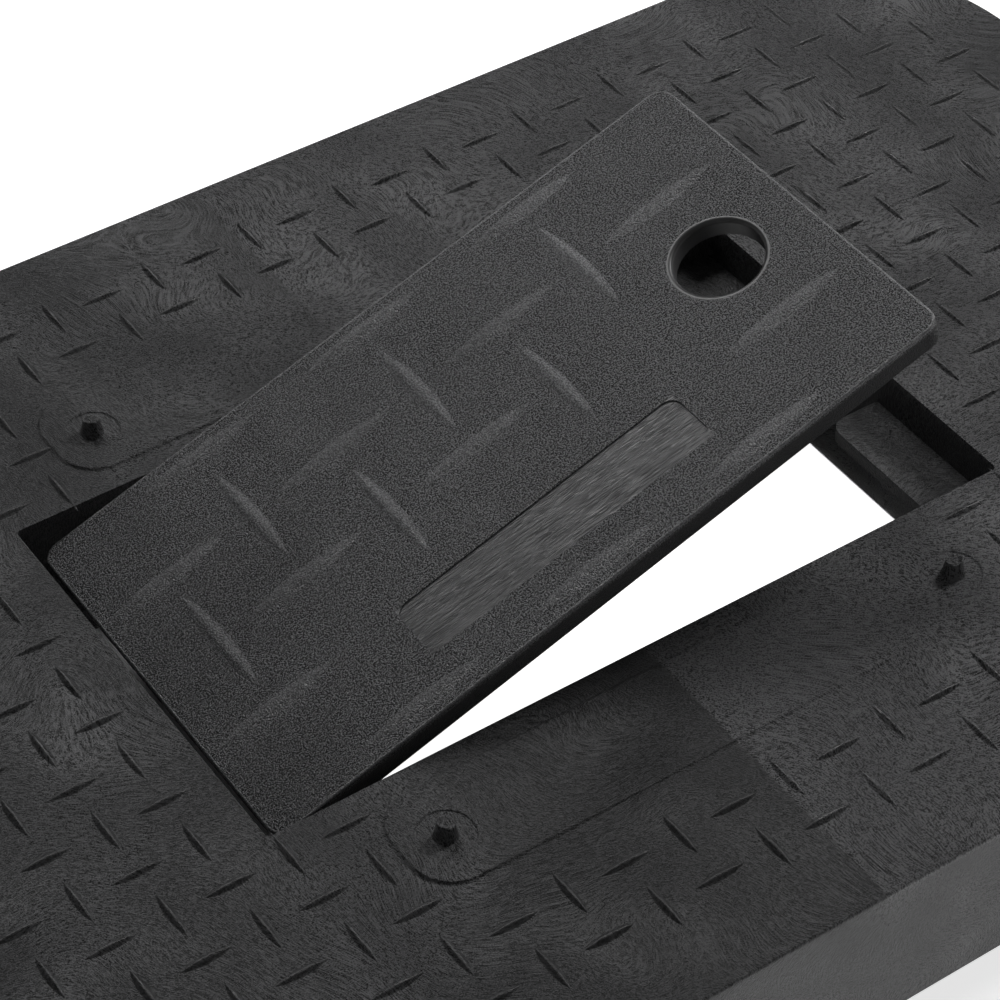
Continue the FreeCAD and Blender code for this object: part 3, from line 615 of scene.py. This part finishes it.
def add_cover_forms(material):
    """The cover's soft lugs, with less grain than its faces and a darker colour, painted shade for their
    flanks, and its small roundings.
    """
    lug = soft_lug(*SOFT_LUG, sharpness=2.2, columns=19, rows=11)
    points, faces = spread_lugs(lug, cover_lug_places(), HEIGHT, seed=5, unevenness=0.07)
    smoother_and_shaded = cover_plastic("cover_tread_plastic", TREAD_RELIEF)
    add_piece("cover_tread", points, faces, smoother_and_shaded, "box_cover")
    outline = divided(rounded_outline(HALF_LENGTH, HALF_WIDTH, CORNER, steps=30), longest=0.006)
    points, faces = swept(outline, rounded_edge(TOP_BREAK, HEIGHT))
    add_piece("cover_rim", points, faces, material, "box_cover")
    add_plaque_edges(material)
    add_well_rims(material)
    add_gate_stubs(material)


def add_lid_forms(material):
    """The lid's soft ribs, with less grain than its faces and a darker colour, painted shade for their
    flanks, and its small roundings.
    """
    lug = soft_lug(*SOFT_LID_LUG, sharpness=2.0, columns=41, rows=13)
    points, faces = spread_lugs(lug, lid_lug_places(), LID_TOP, seed=8, unevenness=0.05)
    points = [tuple(LID_FRAME @ Vector(point)) for point in points]
    smoother_and_shaded = lid_plastic("lid_tread_plastic", LID_TREAD_RELIEF)
    add_piece("lid_tread", points, faces, smoother_and_shaded, "lid")
    outline = divided(rounded_outline(LID_LENGTH / 2, LID_HALF_WIDTH, LID_CORNER, steps=12), longest=0.006)
    centre = (LID_LENGTH / 2 - LID_TAIL, 0)
    points, faces = swept(outline, rounded_edge(LID_BREAK, LID_TOP), centre, LID_FRAME)
    smoother_and_shaded = lid_plastic("lid_rim_plastic", LID_RIM_RELIEF)
    add_piece("lid_rim", points, faces, smoother_and_shaded, "lid")
    ring = circle(HOLE_RADIUS, steps=72, side=-1)
    points, faces = swept(ring, rounded_edge(HOLE_LIP, LID_TOP), (HOLE_X, 0), LID_FRAME)
    add_piece("finger_hole_lip", points, faces, material, "lid")


def stage_plane(name, left, right, half_width, up):
    """A flat pale piece of the stage, and its shader."""
    mesh = bpy.data.meshes.new(name)
    near, far = -half_width, half_width
    corners = [(left, near, up), (right, near, up), (right, far, up), (left, far, up)]
    mesh.from_pydata(corners, [], [(0, 1, 2, 3)])
    plane = bpy.data.objects.new(name, mesh)
    bpy.context.scene.collection.objects.link(plane)
    material, _, shader = new_material(name)
    set_inputs(shader, {
        "Base Color": (FLOOR_GREY, FLOOR_GREY, FLOOR_GREY, 1),
        "Roughness": 0.9,
        "Emission Color": (1, 1, 1, 1),
    })
    paint(plane, material)
    return plane, shader


def add_floor():
    """A wide pale floor that glows outside the cover, and a lit window that is seen through the opening."""
    floor, shader = stage_plane("floor", -FLOOR_HALF, FLOOR_HALF, FLOOR_HALF, 0)
    tree = shader.id_data
    half_sizes = (HALF_LENGTH - GLOW_INSET, HALF_WIDTH - GLOW_INSET)
    under_cover = block(tree, split(tree, own_place(tree)), (0, 0), half_sizes, GLOW_FADE)
    set_inputs(shader, {"Emission Strength": spread(tree, under_cover, (FLOOR_GLOW, 0))})
    window, shader = stage_plane("floor_window", WINDOW_LEFT, WINDOW_RIGHT, WINDOW_HALF_WIDTH, WINDOW_UP)
    set_inputs(shader, {"Emission Strength": WINDOW_GLOW})
    lit = bpy.data.collections.new("lit_by_window")
    lit.objects.link(floor)
    window.light_linking.receiver_collection = lit


def add_light(name, position, size, power):
    """A square softbox at a place, aimed at the part's origin."""
    light = bpy.data.lights.new(name, "AREA")
    light.size = size
    light.energy = power
    lamp = bpy.data.objects.new(name, light)
    lamp.location = position
    lamp.rotation_euler = (-Vector(position)).to_track_quat("-Z", "Y").to_euler()
    bpy.context.scene.collection.objects.link(lamp)


def add_lights():
    """Bright soft light from the right and from behind, a weak fill from the front, and a dim surround."""
    for name, position, size, power in LIGHTS:
        add_light(name, position, size, power)
    world = bpy.data.worlds.new("studio")
    world.use_nodes = True
    set_inputs(world.node_tree.nodes["Background"], {"Color": (1, 1, 1, 1), "Strength": SURROUND})
    bpy.context.scene.world = world


def add_camera():
    """The photograph's camera."""
    data = bpy.data.cameras.new("camera")
    data.lens = CAMERA_LENS
    data.sensor_width = CAMERA_SENSOR
    camera = bpy.data.objects.new("camera", data)
    level = CAMERA_VIEW.to_track_quat("-Z", "Y").to_matrix()
    turned = level @ Matrix.Rotation(CAMERA_ROLL, 3, "Z")
    camera.matrix_world = Matrix.Translation(CAMERA_PLACE) @ turned.to_4x4()
    bpy.context.scene.collection.objects.link(camera)
    bpy.context.scene.camera = camera


cover_material = cover_plastic("cover_plastic", FULL_RELIEF)
lid_material = lid_plastic("lid_plastic", FULL_RELIEF)
paint(nodes["cover"], cover_material)
paint(nodes["reader_lid"], lid_material)
paint(nodes["hinge_pin"], pin_steel())
add_cover_forms(cover_material)
add_lid_forms(lid_material)
add_floor()
add_lights()
add_camera()
bpy.context.scene.view_settings.view_transform = "Standard"
